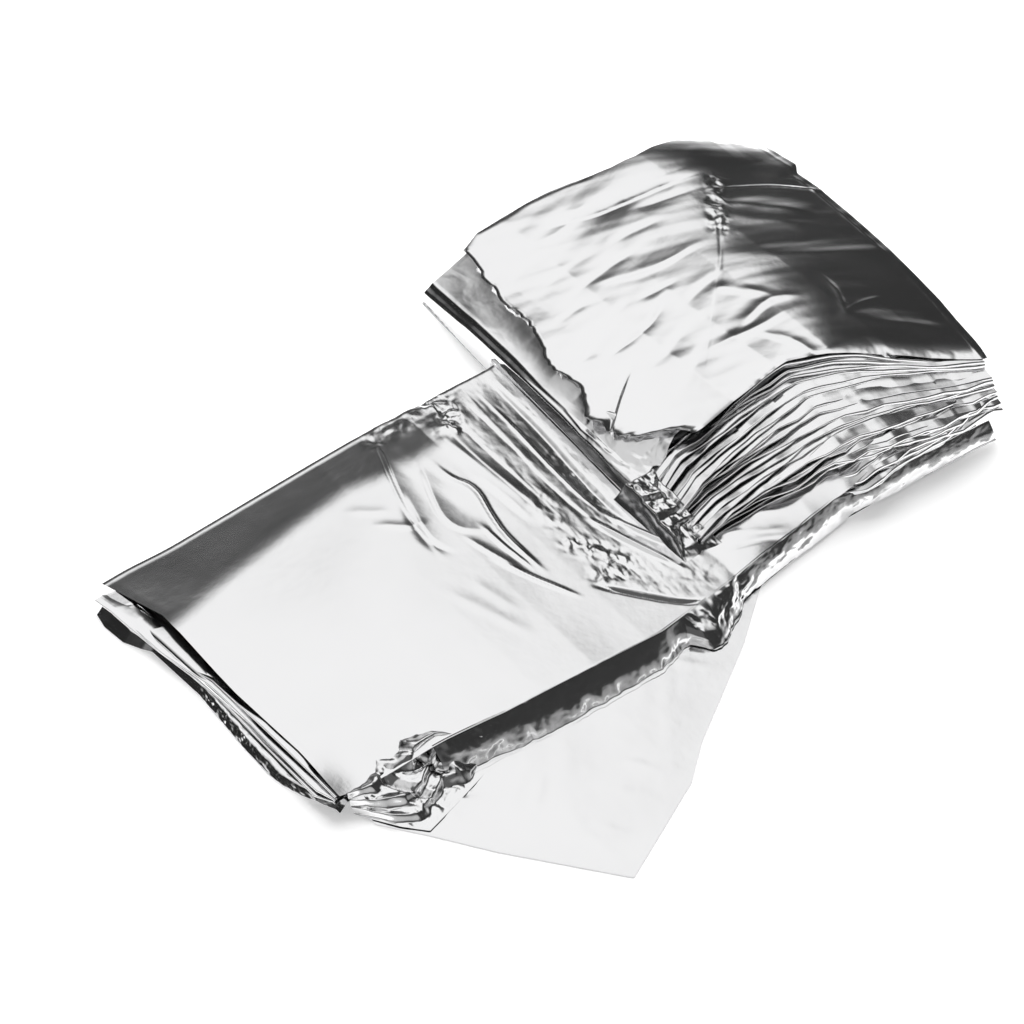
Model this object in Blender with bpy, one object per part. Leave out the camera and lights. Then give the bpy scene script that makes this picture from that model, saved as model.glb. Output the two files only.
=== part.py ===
"""Emergency foil blanket, part unfolded and lying on a level surface.

One metallised film sheet, folded back and forth.  Five long leaves make the lower flap, which runs
the whole length.  Six shorter leaves, folded on top of its right half, make the pack.  The lowest
leaf reaches out in front of the others as a loose single sheet.  Each leaf stands for a bundle of
film layers, and all leaves are one closed solid.

Frame: X runs along the flap, Y across it, Z up; the origin is at the middle of the footprint, on the
surface that the blanket lies on.  The tables are in millimetres, the model in metres.
"""

import math
from collections import namedtuple

import bmesh
import bpy
import numpy as np

MM = 0.001
NAME = "foil_blanket"

LEAF_THICKNESS = 1.0
FLAP_LEAVES = 5
FOLD_STEPS = 4
CELLS_ACROSS = 10

# A leaf's cross lines keep END_CLEARANCE from its slanting ends, whose crossing with its edges
# takes END_PASSES passes to find.
END_CLEARANCE = 4.0
END_PASSES = 4

# A leaf lies on those below it.  Once it is EDGE_MARGIN past the outline of one, it sinks over
# EDGE_FALL by EDGE_SAG of that leaf's share of the height, because the film is stiff enough to stand out.
EDGE_FALL = 48.0
EDGE_MARGIN = 3.0
EDGE_SAG = 0.3

# The middle of the footprint, measured along the tables' own X and Y.
FOOTPRINT_MIDDLE = (17.63, -19.75)

FILM_COLOUR = (0.86, 0.87, 0.88, 1.0)
FILM_ROUGHNESS = 0.2
FILM_METALLIC = 1.0

# The ends of the leaves, in order along the film: the free left end of the lowest leaf, then the folds,
# at the right and at the left by turns, then the free right end of the top leaf.  The pack is pushed
# back over the flap, and shift says how far an end has gone, from the flap's outline to the top
# leaf's.  The others say how far the end stands out past that outline, + being outward.
End = namedtuple("End", "shift out front back")
ENDS = (
    End(shift=0.0, out=-5.0, front=0.0, back=-6.0),
    End(shift=0.0, out=-2.0, front=0.0, back=-4.0),
    End(shift=0.0, out=4.5, front=-1.5, back=-5.0),
    End(shift=0.0, out=-3.0, front=-1.0, back=-6.0),
    End(shift=0.0, out=0.0, front=0.0, back=0.0),
    End(shift=0.1, out=1.0, front=0.0, back=0.0),
    End(shift=0.25, out=-1.0, front=0.0, back=0.0),
    End(shift=0.4, out=-2.0, front=0.0, back=1.0),
    End(shift=0.6, out=0.5, front=1.0, back=0.0),
    End(shift=0.8, out=0.5, front=-1.0, back=-1.0),
    End(shift=0.95, out=0.0, front=0.0, back=0.0),
    End(shift=1.0, out=1.5, front=0.0, back=0.0),
)
LEAF_COUNT = len(ENDS) - 1
TOP_LEAF = LEAF_COUNT - 1

# Edges that run along X, as Y at each X.
Edge = namedtuple("Edge", "x y")
LOOSE_FRONT = Edge(
    x=(-118.0, -102.0, -90.0, -64.0, -27.0, -14.0, 22.0, 42.0, 80.0, 150.0),
    y=(-74.0, -95.0, -112.0, -144.0, -125.0, -114.0, -90.0, -74.0, -67.0, -66.0),
)
FLAP_FRONT = Edge(x=(-125.0, -60.0, 0.0, 40.0, 80.0, 150.0), y=(-70.0, -77.0, -79.0, -73.0, -67.0, -66.0))
FLAP_BACK = Edge(x=(-125.0, -27.0, 30.0, 90.0, 160.0), y=(44.0, 50.0, 51.0, 62.0, 70.0))
PACK_FRONT = Edge(x=(28.0, 46.0, 92.0, 112.0, 150.0), y=(-31.0, -23.0, -23.0, -33.0, -55.0))
PACK_BACK = Edge(x=(35.0, 60.0, 81.0, 118.0, 141.0, 151.0, 163.0), y=(94.0, 104.0, 103.0, 98.0, 92.0, 87.0, 69.0))

# Ends that run along Y, as X at each Y.
FLAP_END = Edge(x=(-117.0, -125.0), y=(-71.0, 44.0))
PACK_FOLD = Edge(x=(41.0, 28.0, 36.0), y=(-75.0, -30.0, 98.0))
RIGHT_FOLD = Edge(x=(142.0, 150.0, 156.0, 163.0, 163.0), y=(-67.0, -56.0, -25.0, 45.0, 100.0))

# Cross lines of each leaf, and the rise from one leaf to the next at the front and back of each.
Rise = namedtuple("Rise", "x front back")
RISES = (
    Rise(x=-130.0, front=1.60, back=1.60),
    Rise(x=-106.0, front=1.75, back=1.65),
    Rise(x=-86.0, front=1.95, back=1.65),
    Rise(x=-66.0, front=2.15, back=1.65),
    Rise(x=-46.0, front=2.20, back=1.65),
    Rise(x=-26.0, front=2.20, back=1.60),
    Rise(x=-6.0, front=2.05, back=1.55),
    Rise(x=14.0, front=1.80, back=1.50),
    Rise(x=34.0, front=1.60, back=1.45),
    Rise(x=54.0, front=2.20, back=1.70),
    Rise(x=70.0, front=2.75, back=1.95),
    Rise(x=88.0, front=3.10, back=2.10),
    Rise(x=106.0, front=3.20, back=2.20),
    Rise(x=124.0, front=3.15, back=2.25),
    Rise(x=138.0, front=3.05, back=2.25),
    Rise(x=166.0, front=2.95, back=2.20),
)
RISE_FRONT_Y = -75.0
RISE_BACK_Y = 105.0

# Gentle waves, as a share of the rise, so that every leaf lies unevenly.
Wave = namedtuple("Wave", "share length angle start")
WAVES = (
    Wave(share=0.045, length=130.0, angle=35.0, start=0.4),
    Wave(share=0.035, length=95.0, angle=-50.0, start=2.1),
)

# Loose humps of the two leaves that show from above.
Hump = namedtuple("Hump", "leaf height x y reach_x reach_y")
HUMPS = (
    Hump(leaf=TOP_LEAF, height=4.5, x=112.0, y=10.0, reach_x=62.0, reach_y=95.0),
    Hump(leaf=TOP_LEAF, height=3.0, x=136.0, y=88.0, reach_x=38.0, reach_y=34.0),
    Hump(leaf=FLAP_LEAVES - 1, height=1.2, x=-66.0, y=-12.0, reach_x=62.0, reach_y=55.0),
)


def along_x(edge, x):
    """Return the Y of an edge that runs along X."""
    return float(np.interp(x, edge.x, edge.y))


def along_y(edge, y):
    """Return the X of an end that runs along Y."""
    return float(np.interp(y, edge.y, edge.x))


def mix(first, second, share):
    """Return the value a share of the way from the first to the second."""
    return first + (second - first) * share


def runs_right(index):
    """Return whether the film runs to the right along a leaf."""
    return index % 2 == 0


def left_end(index, y):
    """Return the X of a leaf's left end."""
    outline = FLAP_END if index < FLAP_LEAVES else PACK_FOLD
    return along_y(outline, y) - ENDS[index if runs_right(index) else index + 1].out


def right_end(index, y):
    """Return the X of a leaf's right end."""
    return along_y(RIGHT_FOLD, y) + ENDS[index + 1 if runs_right(index) else index].out


def share_along(index, x):
    """Return how far a point is along a leaf, in the film's own direction."""
    left = left_end(index, 0.0)
    share = min(1.0, max(0.0, (x - left) / (right_end(index, 0.0) - left)))
    return share if runs_right(index) else 1.0 - share


def front_edge(index, x):
    """Return the Y of a leaf's front edge."""
    share = share_along(index, x)
    shift = mix(ENDS[index].shift, ENDS[index + 1].shift, share)
    lower = along_x(LOOSE_FRONT if index == 0 else FLAP_FRONT, x)
    return mix(lower, along_x(PACK_FRONT, x), shift) - mix(ENDS[index].front, ENDS[index + 1].front, share)


def back_edge(index, x):
    """Return the Y of a leaf's back edge."""
    share = share_along(index, x)
    shift = mix(ENDS[index].shift, ENDS[index + 1].shift, share)
    out = mix(ENDS[index].back, ENDS[index + 1].back, share)
    return mix(along_x(FLAP_BACK, x), along_x(PACK_BACK, x), shift) + out


def fall(distance):
    """Return 1 on a leaf and near it, falling smoothly by EDGE_SAG further out."""
    step = min(1.0, max(0.0, (distance - EDGE_MARGIN) / EDGE_FALL))
    return 1.0 - EDGE_SAG * step * step * (3.0 - 2.0 * step)


def presence(index, x, y):
    """Return how much of a leaf's rise reaches a point: 1 on the leaf, less well outside its outline."""
    along = max(left_end(index, y) - x, x - right_end(index, y), 0.0)
    across = max(front_edge(index, x) - y, y - back_edge(index, x), 0.0)
    return fall(math.hypot(along, across))


def rise(x, y):
    """Return the height from one leaf to the next."""
    stations = [row.x for row in RISES]
    front = np.interp(x, stations, [row.front for row in RISES])
    back = np.interp(x, stations, [row.back for row in RISES])
    share = min(1.0, max(0.0, (y - RISE_FRONT_Y) / (RISE_BACK_Y - RISE_FRONT_Y)))
    ripple = 1.0
    for wave in WAVES:
        turn = math.radians(wave.angle)
        travel = (x * math.cos(turn) + y * math.sin(turn)) / wave.length
        ripple += wave.share * math.sin(2.0 * math.pi * travel + wave.start)
    return mix(front, back, share) * ripple


def hump(index, x, y):
    """Return the height that a loose leaf stands up above the rest."""
    total = 0.0
    for row in HUMPS:
        if row.leaf == index:
            distance = min(1.0, math.hypot((x - row.x) / row.reach_x, (y - row.y) / row.reach_y))
            total += row.height * (0.5 + 0.5 * math.cos(math.pi * distance))
    return total


def height(index, x, y):
    """Return the height of a leaf's middle surface."""
    below = sum(presence(lower, x, y) for lower in range(index))
    return LEAF_THICKNESS / 2.0 + rise(x, y) * below + hump(index, x, y)


def leaf_row(index, end_x):
    """Return the points of a leaf across its width, where end_x gives the X of each Y."""
    points = []
    x = end_x(0.0)
    for step in range(CELLS_ACROSS + 1):
        for _ in range(END_PASSES):
            y = mix(front_edge(index, x), back_edge(index, x), step / CELLS_ACROSS)
            x = end_x(y)
        points.append((x, y, height(index, x, y)))
    return points


def leaf_rows(index):
    """Return a leaf's rows of points from its left end to its right end."""
    outline = FLAP_END if index < FLAP_LEAVES else PACK_FOLD
    rows = [leaf_row(index, lambda y: left_end(index, y))]
    for station in RISES:
        if max(outline.x) + END_CLEARANCE < station.x <= min(RIGHT_FOLD.x) - END_CLEARANCE:
            rows.append(leaf_row(index, lambda y, x=station.x: x))
    last = rows[-1][0][0]
    rows.append(leaf_row(index, lambda y: mix(last, right_end(index, y), 0.5)))
    rows.append(leaf_row(index, lambda y: right_end(index, y)))
    return rows


def fold_rows(lower_row, upper_row, outward):
    """Return the round fold between the ends of two leaves: outward is +1 at the right."""
    rows = []
    for step in range(1, FOLD_STEPS):
        angle = math.pi * step / FOLD_STEPS
        row = []
        for low, high in zip(lower_row, upper_row):
            reach = (high[2] - low[2]) / 2.0
            x = low[0] + outward * reach * math.sin(angle)
            row.append((x, low[1], mix(low[2], high[2], 0.5 - 0.5 * math.cos(angle))))
        rows.append(row)
    return rows


def sheet_rows():
    """Return every row of the folded sheet, in order along the film."""
    rows = []
    for index in range(LEAF_COUNT):
        leaf = leaf_rows(index)
        if not runs_right(index):
            leaf.reverse()
        if rows:
            rows += fold_rows(rows[-1], leaf[0], -1.0 if runs_right(index) else 1.0)
        rows += leaf
    return rows


def film_material():
    """Return the bright metallised finish."""
    material = bpy.data.materials.new("metallised_film")
    material.use_nodes = True
    shader = material.node_tree.nodes["Principled BSDF"]
    shader.inputs["Base Color"].default_value = FILM_COLOUR
    shader.inputs["Roughness"].default_value = FILM_ROUGHNESS
    shader.inputs["Metallic"].default_value = FILM_METALLIC
    return material


def build_blanket():
    """Build the folded sheet as a grid of its middle surface, thickened to a solid."""
    middle_x, middle_y = FOOTPRINT_MIDDLE
    grid = bmesh.new()
    corners = []
    for row in sheet_rows():
        corners.append([
            grid.verts.new(((x - middle_x) * MM, (y - middle_y) * MM, z * MM)) for x, y, z in row
        ])
    for near, far in zip(corners, corners[1:]):
        for step in range(CELLS_ACROSS):
            grid.faces.new((near[step], far[step], far[step + 1], near[step + 1]))
    mesh = bpy.data.meshes.new(NAME)
    grid.to_mesh(mesh)
    grid.free()
    mesh.materials.append(film_material())
    blanket = bpy.data.objects.new(NAME, mesh)
    bpy.context.scene.collection.objects.link(blanket)

    thicken = blanket.modifiers.new("film thickness", "SOLIDIFY")
    thicken.thickness = LEAF_THICKNESS * MM
    thicken.offset = 0.0
    thicken.use_even_offset = True
    thicken.use_quality_normals = True


for old in list(bpy.data.objects):
    bpy.data.objects.remove(old, do_unlink=True)
build_blanket()
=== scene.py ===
"""Emergency foil blanket, part unfolded on a pale floor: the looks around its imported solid.

The film's leaves, folds and edges lie where the solid's leaves are, because both scripts work them
out from the same tables.  Tables are in millimetres along the blanket's own axes: X along the flap,
Y across it, Z up.  Blender's units are metres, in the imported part's frame.
"""

import itertools
import math
from collections import namedtuple

import bpy
import numpy as np
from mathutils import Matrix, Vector


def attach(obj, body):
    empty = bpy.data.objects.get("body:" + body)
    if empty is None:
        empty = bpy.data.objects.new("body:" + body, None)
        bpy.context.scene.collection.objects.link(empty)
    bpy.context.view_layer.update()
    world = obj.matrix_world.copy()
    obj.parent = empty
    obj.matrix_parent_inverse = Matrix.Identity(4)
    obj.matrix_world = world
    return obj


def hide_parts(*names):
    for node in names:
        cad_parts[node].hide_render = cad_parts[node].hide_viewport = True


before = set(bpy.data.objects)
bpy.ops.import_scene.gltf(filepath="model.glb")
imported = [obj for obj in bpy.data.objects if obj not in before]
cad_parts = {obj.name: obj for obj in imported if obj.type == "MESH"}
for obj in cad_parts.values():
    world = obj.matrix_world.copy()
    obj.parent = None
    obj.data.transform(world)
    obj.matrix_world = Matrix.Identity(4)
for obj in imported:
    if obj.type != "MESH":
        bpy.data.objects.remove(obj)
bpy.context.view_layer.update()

MM = 0.001
BODY = "root"
CAD_NODE = "foil_blanket"

# The folded leaves, as the solid has them.

LEAF_THICKNESS = 1
FLAP_LEAVES = 5
EDGE_FALL = 48
EDGE_MARGIN = 3
EDGE_SAG = 0.3
FOOTPRINT_MIDDLE = (17.63, -19.75)

# The leaves' ends, from the lowest: the share of the way from the flap's outline to the pack's, and
# how far each reaches out at its end, its front and its back.
End = namedtuple("End", "shift out front back")
ENDS = End(
    shift=(0, 0, 0, 0, 0, 0.1, 0.25, 0.4, 0.6, 0.8, 0.95, 1),
    out=(-5, -2, 4.5, -3, 0, 1, -1, -2, 0.5, 0.5, 0, 1.5),
    front=(0, 0, -1.5, -1, 0, 0, 0, 0, 1, -1, 0, 0),
    back=(-6, -4, -5, -6, 0, 0, 0, 1, 0, -1, 0, 0),
)
TOP_LEAF = len(ENDS.out) - 2
FLAP_TOP = FLAP_LEAVES - 1

# A table of X and Y: an edge's Y at each X, an end's X at each Y, or another value at each place.
Edge = namedtuple("Edge", "x y")
LOOSE_FRONT = Edge(
    x=(-118, -102, -90, -64, -27, -14, 22, 42, 80, 150),
    y=(-74, -95, -112, -144, -125, -114, -90, -74, -67, -66),
)
FLAP_FRONT = Edge(x=(-125, -60, 0, 40, 80, 150), y=(-70, -77, -79, -73, -67, -66))
FLAP_BACK = Edge(x=(-125, -27, 30, 90, 160), y=(44, 50, 51, 62, 70))
PACK_FRONT = Edge(x=(28, 46, 92, 112, 150), y=(-31, -23, -23, -33, -55))
PACK_BACK = Edge(x=(35, 60, 81, 118, 141, 151, 163), y=(94, 104, 103, 98, 92, 87, 69))
FLAP_END = Edge(y=(-71, 44), x=(-117, -125))
PACK_FOLD = Edge(y=(-75, -30, 98), x=(41, 28, 36))
RIGHT_FOLD = Edge(y=(-67, -56, -25, 45, 100), x=(142, 150, 156, 163, 163))

# How far one leaf lies above the next, at the front and at the back.
Rise = namedtuple("Rise", "x front back")
RISES = Rise(
    x=(-130, -106, -86, -66, -46, -26, -6, 14, 34, 54, 70, 88, 106, 124, 138, 166),
    front=(1.6, 1.75, 1.95, 2.15, 2.2, 2.2, 2.05, 1.8, 1.6, 2.2, 2.75, 3.1, 3.2, 3.15, 3.05, 2.95),
    back=(1.6, 1.65, 1.65, 1.65, 1.65, 1.6, 1.55, 1.5, 1.45, 1.7, 1.95, 2.1, 2.2, 2.25, 2.25, 2.2),
)
RISE_FRONT_Y = -75
RISE_BACK_Y = 105
Wave = namedtuple("Wave", "share length angle start")
WAVES = (
    Wave(share=0.045, length=130, angle=35, start=0.4),
    Wave(share=0.035, length=95, angle=-50, start=2.1),
)
Hump = namedtuple("Hump", "leaf height x y reach_x reach_y")
HUMPS = (
    Hump(leaf=TOP_LEAF, height=4.5, x=112, y=10, reach_x=62, reach_y=95),
    Hump(leaf=TOP_LEAF, height=3, x=136, y=88, reach_x=38, reach_y=34),
    Hump(leaf=FLAP_TOP, height=1.2, x=-66, y=-12, reach_x=62, reach_y=55),
)


def mix(first, second, share):
    """Return the value a share of the way from the first to the second."""
    return first + (second - first) * share


def ease(share):
    """Return a smooth step from 0 to 1."""
    step = np.clip(share, 0, 1)
    return step * step * (3 - 2 * step)


def faded(place, fade):
    """Return a smooth step from 0 to 1 over a fade: its start, and its width (below 0 to run backwards)."""
    start, width = fade
    return ease((place - start) / width)


def eased_drop(distance, start):
    """Return a distance past a line, eased in over start."""
    past = np.clip(distance, 0, None)
    return np.where(past < start, past * past / (2 * start), past - start / 2)


def along_x(edge, x):
    """Return the Y of an edge that runs along X."""
    return np.interp(x, edge.x, edge.y)


def along_y(edge, y):
    """Return the X of an end that runs along Y."""
    return np.interp(y, edge.y, edge.x)


def runs_right(index):
    """Return whether the film runs to the right along a leaf."""
    return index % 2 == 0


def left_end(index, y):
    """Return the X of a leaf's left end."""
    outline = FLAP_END if index < FLAP_LEAVES else PACK_FOLD
    return along_y(outline, y) - ENDS.out[index if runs_right(index) else index + 1]


def right_end(index, y):
    """Return the X of a leaf's right end."""
    return along_y(RIGHT_FOLD, y) + ENDS.out[index + 1 if runs_right(index) else index]


def share_along(index, x):
    """Return how far a point is along a leaf, in the film's own direction."""
    left = left_end(index, 0)
    share = np.clip((x - left) / (right_end(index, 0) - left), 0, 1)
    return share if runs_right(index) else 1 - share


def between_ends(index, x, column):
    """Return a value of a leaf's ends, at a point along the leaf."""
    return mix(column[index], column[index + 1], share_along(index, x))


def front_edge(index, x):
    """Return the Y of a leaf's front edge."""
    lower = along_x(LOOSE_FRONT if index == 0 else FLAP_FRONT, x)
    edge = mix(lower, along_x(PACK_FRONT, x), between_ends(index, x, ENDS.shift))
    return edge - between_ends(index, x, ENDS.front)


def back_edge(index, x):
    """Return the Y of a leaf's back edge."""
    edge = mix(along_x(FLAP_BACK, x), along_x(PACK_BACK, x), between_ends(index, x, ENDS.shift))
    return edge + between_ends(index, x, ENDS.back)


def presence(index, x, y):
    """Return how much of a leaf's rise reaches a point: 1 on the leaf, less well outside its outline."""
    along = np.maximum(np.maximum(left_end(index, y) - x, x - right_end(index, y)), 0)
    across = np.maximum(np.maximum(front_edge(index, x) - y, y - back_edge(index, x)), 0)
    return 1 - EDGE_SAG * ease((np.hypot(along, across) - EDGE_MARGIN) / EDGE_FALL)


def rise(x, y):
    """Return the height from one leaf to the next."""
    front = np.interp(x, RISES.x, RISES.front)
    back = np.interp(x, RISES.x, RISES.back)
    share = np.clip((y - RISE_FRONT_Y) / (RISE_BACK_Y - RISE_FRONT_Y), 0, 1)
    ripple = 1
    for wave in WAVES:
        turn = math.radians(wave.angle)
        travel = (x * math.cos(turn) + y * math.sin(turn)) / wave.length
        ripple = ripple + wave.share * np.sin(2 * math.pi * travel + wave.start)
    return mix(front, back, share) * ripple


def hump(index, x, y):
    """Return the height that a loose leaf stands up above the rest."""
    total = 0 * x
    for row in HUMPS:
        if row.leaf == index:
            distance = np.minimum(1, np.hypot((x - row.x) / row.reach_x, (y - row.y) / row.reach_y))
            total = total + row.height * (0.5 + 0.5 * np.cos(math.pi * distance))
    return total


def height(index, x, y):
    """Return the height of a leaf's middle surface."""
    below = sum((presence(lower, x, y) for lower in range(index)), 0 * x)
    return LEAF_THICKNESS / 2 + rise(x, y) * below + hump(index, x, y)


# The flap's leaves turn down towards their back edge, over a band this wide, and are level along the
# edge itself; in front of the pack they slope down to the floor.
BACK_BAND = Edge(x=(-122, -93, -65, -42, -26, -6, 4), y=(32, 27, 23, 21.5, 25, 24, 14))
BACK_SLOPE = 0.19
BACK_START = 8
BACK_LIP = 2.2
BACK_FADE = (28, -30)
APRON_SLOPE = 0.34
APRON_START = 8
APRON_Y = -44
APRON_LEFT = (30, 58)
APRON_RIGHT = (100, -16)
# The pack's leaves turn down towards the right, beyond this line.
SHADE = Edge(
    y=(-60, -29, -10, 6, 21, 34, 52, 68, 82, 96),
    x=(104, 105, 102, 100, 98, 99, 107, 116, 136, 165),
)
SHADE_SLOPE = 0.07
SHADE_START = 20
# The flap's leaves are pressed down around its front left corner.
CORNER_X, CORNER_Y = -106, -74
CORNER_DROP = 3.2
CORNER_REACH = 28
MOST_PRESSED = 0.8


def lie(index, x, y):
    """Return the height at which a leaf's film lies."""
    level = height(index, x, y)
    if index >= FLAP_LEAVES:
        drop = SHADE_SLOPE * eased_drop(x - along_y(SHADE, y), SHADE_START)
        return level - drop * (index - FLAP_TOP) / (TOP_LEAF - FLAP_TOP)
    inside = np.maximum(back_edge(FLAP_TOP, x) - y, BACK_LIP)
    back = BACK_SLOPE * eased_drop(along_x(BACK_BAND, x) - inside, BACK_START) * faded(x, BACK_FADE)
    apron = APRON_SLOPE * eased_drop(APRON_Y - y, APRON_START)
    apron = apron * faded(x, APRON_LEFT) * faded(x, APRON_RIGHT)
    corner = CORNER_DROP * ease(1 - np.hypot(x - CORNER_X, y - CORNER_Y) / CORNER_REACH)
    return level * (1 - np.minimum((back + apron + corner) / height(FLAP_TOP, x, y), MOST_PRESSED))


GRID_ROUNDS = 6


def leaf_grid(index, along, across):
    """Return X and Y grids over a leaf, from shares along it (left to right) and across it."""
    u = along[:, None]
    v = across[None, :]
    y = 0 * u * v
    for _ in range(GRID_ROUNDS):
        x = mix(left_end(index, y), right_end(index, y), u)
        y = mix(front_edge(index, x), back_edge(index, x), v)
    return x, y


# Creases and crumples.


def lattice(i, j, seed):
    """Return a fixed random value from -1 to 1 at each point of a square lattice."""
    word = (i.astype(np.int64) * 374761393 + j.astype(np.int64) * 668265263 + seed * 974711) & 0xFFFFFFFF
    word = ((word ^ (word >> 13)) * 1274126177) & 0xFFFFFFFF
    return (word ^ (word >> 16)) / 2147483647.5 - 1


def swell(x, y, size, seed):
    """Return soft noise from about -1 to 1 with lumps of a given size."""
    u, v = x / size, y / size
    i, j = np.floor(u), np.floor(v)
    a, b = u - i, v - j
    rows = []
    for down in (0, 1):
        ends = []
        for right in (0, 1):
            turn = math.pi * lattice(i + right, j + down, seed)
            ends.append(np.cos(turn) * (a - right) + np.sin(turn) * (b - down))
        rows.append(mix(ends[0], ends[1], a * a * a * (a * (6 * a - 15) + 10)))
    return 1.5 * mix(rows[0], rows[1], b * b * b * (b * (6 * b - 15) + 10))


def facets(x, y, size, seed):
    """Return noise from -1 to 1 that is made of flat triangles of a given size."""
    u = (x - y / math.sqrt(3)) / size
    v = 2 * y / math.sqrt(3) / size
    i, j = np.floor(u), np.floor(v)
    a, b = u - i, v - j
    corner, right = lattice(i, j, seed), lattice(i + 1, j, seed)
    above, far = lattice(i, j + 1, seed), lattice(i + 1, j + 1, seed)
    lower = corner + a * (right - corner) + b * (above - corner)
    upper = far + (1 - a) * (above - far) + (1 - b) * (right - far)
    return np.where(a + b < 1, lower, upper)


def wander(place, size, seed):
    """Return noise from -1 to 1 along a line, made of straight stretches of a given size."""
    return facets(place, 0 * place, size, seed)


def crumple(x, y, size, seed):
    """Return crumpled film: bent flat facets with smaller ones on them."""
    bent_x = x + 0.35 * size * swell(x, y, 1.3 * size, seed + 1)
    bent_y = y + 0.35 * size * swell(x, y, 1.3 * size, seed + 2)
    total = facets(bent_x, bent_y, size, seed + 3)
    total = total + 0.5 * facets(bent_y, bent_x, 0.47 * size, seed + 4)
    return total + 0.22 * facets(bent_x, -bent_y, 0.23 * size, seed + 5)


def stretched(x, y, angle, length, width, seed):
    """Return soft noise from -1 to 1 with lumps that are long at an angle to X."""
    turn = math.radians(angle)
    along = x * math.cos(turn) + y * math.sin(turn)
    across = y * math.cos(turn) - x * math.sin(turn)
    return swell(along * width / length, across, width, seed)


def stretched_crumple(x, y, length, width, seed):
    """Return crumpled film with long facets that run along Y."""
    return crumple(x, y * width / length, width, seed)


def terraced(climb, count, wander):
    """Return a climb from 0 to 1 as level steps with steep fronts between them."""
    place = np.clip(count * climb + wander, 0, count)
    step = np.floor(place)
    return (step + ease((place - step - 0.6) / 0.4)) / count


def curled(depth, inside, reach):
    """Return how far an edge curls down, at a distance inside it that is less than its reach."""
    return depth * np.clip(reach - inside, 0, None) ** 2 / reach


def rounded(route):
    """Return a route's points with its corners cut."""
    points = np.array(route, dtype=float)
    for _ in range(2):
        near = mix(points[:-1], points[1:], 0.25)
        far = mix(points[:-1], points[1:], 0.75)
        middle = np.stack([near, far], axis=1).reshape(-1, 2)
        points = np.concatenate([points[:1], middle[1:-1], points[-1:]])
    return points


def nearest(x, y, route):
    """Return the distance to a route, the side of it (+ is left), and the share of its length."""
    points = rounded(route)
    steps = np.hypot(*(points[1:] - points[:-1]).T)
    travelled = np.concatenate([[0], np.cumsum(steps)]) / steps.sum()
    best = np.full(x.shape, 1e9)
    side = np.zeros(x.shape)
    share = np.zeros(x.shape)
    for start, end, size, done, after in zip(points, points[1:], steps, travelled, travelled[1:]):
        ahead_x, ahead_y = (end - start) / size
        off_x, off_y = x - start[0], y - start[1]
        reach = np.clip(off_x * ahead_x + off_y * ahead_y, 0, size)
        distance = np.hypot(off_x - reach * ahead_x, off_y - reach * ahead_y)
        closer = distance < best
        best = np.where(closer, distance, best)
        side = np.where(closer, np.sign(ahead_x * off_y - ahead_y * off_x), side)
        share = np.where(closer, mix(done, after, reach / size), share)
    return best, side, share


# A crease follows its route, and is height above the film (or below it); left and right are how far
# it spreads on each side, and round softens its top.  It runs out over a share of its length.
Crease = namedtuple("Crease", "route height left right round", defaults=(0.3,))
CREASE_END = 0.35


def creased(x, y, creases):
    """Return the height that a table of creases adds."""
    total = np.zeros(x.shape)
    for row in itertools.starmap(Crease, creases):
        reach = max(row.left, row.right)
        route_x, route_y = zip(*row.route)
        inside = (x > min(route_x) - reach) & (x < max(route_x) + reach)
        inside &= (y > min(route_y) - reach) & (y < max(route_y) + reach)
        if not inside.any():
            continue
        distance, side, share = nearest(x[inside], y[inside], row.route)
        distance = np.hypot(distance, row.round) - row.round
        spread = np.where(side > 0, row.left, row.right)
        profile = np.clip(1 - distance / spread, 0, 1) ** 2
        total[inside] += row.height * profile * ease(share / CREASE_END) * ease((1 - share) / CREASE_END)
    return total


# A crumpled place: film within reach of the route is crumpled by depth, in facets of size.
Patch = namedtuple("Patch", "route reach depth size seed")


def crumpled(x, y, patches):
    """Return the height that a table of crumpled places adds."""
    total = np.zeros(x.shape)
    for row in itertools.starmap(Patch, patches):
        distance, _, _ = nearest(x, y, row.route)
        inside = distance < row.reach
        amount = ease(1 - distance[inside] / row.reach)
        total[inside] += row.depth * amount * crumple(x[inside], y[inside], row.size, row.seed)
    return total


# Pieces.


# A sheet's grid is named by spans of (start, end, step), in millimetres.


def stops(*spans):
    """Return places along a line, from spans of (start, end, step)."""
    parts = [np.arange(start, end - step / 2, step) for start, end, step in spans]
    return np.concatenate(parts + [[spans[-1][1]]])


def shares(places):
    """Return places along a line as shares of the way from the first to the last."""
    return (places - places[0]) / (places[-1] - places[0])


def unit_grid(rows, columns):
    """Return shares from 0 to 1 down the rows and along the columns of a grid."""
    return np.linspace(0, 1, rows)[:, None], np.linspace(0, 1, columns)[None, :]


def placed(name, data):
    """Return a new object in the scene."""
    thing = bpy.data.objects.new(name, data)
    bpy.context.scene.collection.objects.link(thing)
    return thing


def film_piece(name, x, y, z, material, held="folded", lowest=0):
    """Make one sheet of film from a grid of points.

    Its flat size is measured before points below the lowest height are lifted to it.
    """
    middle_x, middle_y = FOOTPRINT_MIDDLE
    points = np.stack([x - middle_x, y - middle_y, np.maximum(z, lowest)], axis=-1) * MM
    rows, columns = z.shape
    index = np.arange(rows * columns).reshape(rows, columns)
    corners = [index[:-1, :-1], index[1:, :-1], index[1:, 1:], index[:-1, 1:]]
    mesh = bpy.data.meshes.new(name)
    mesh.from_pydata(points.reshape(-1, 3), [], np.stack(corners, axis=-1).reshape(-1, 4), shade_flat=False)
    mesh.validate()
    mesh.materials.append(material)
    piece = placed(name, mesh)
    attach(piece, BODY)
    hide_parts(CAD_NODE)


# The top film of a leaf lies this far over the leaf's middle.
FILM_OVER = 0.6

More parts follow.
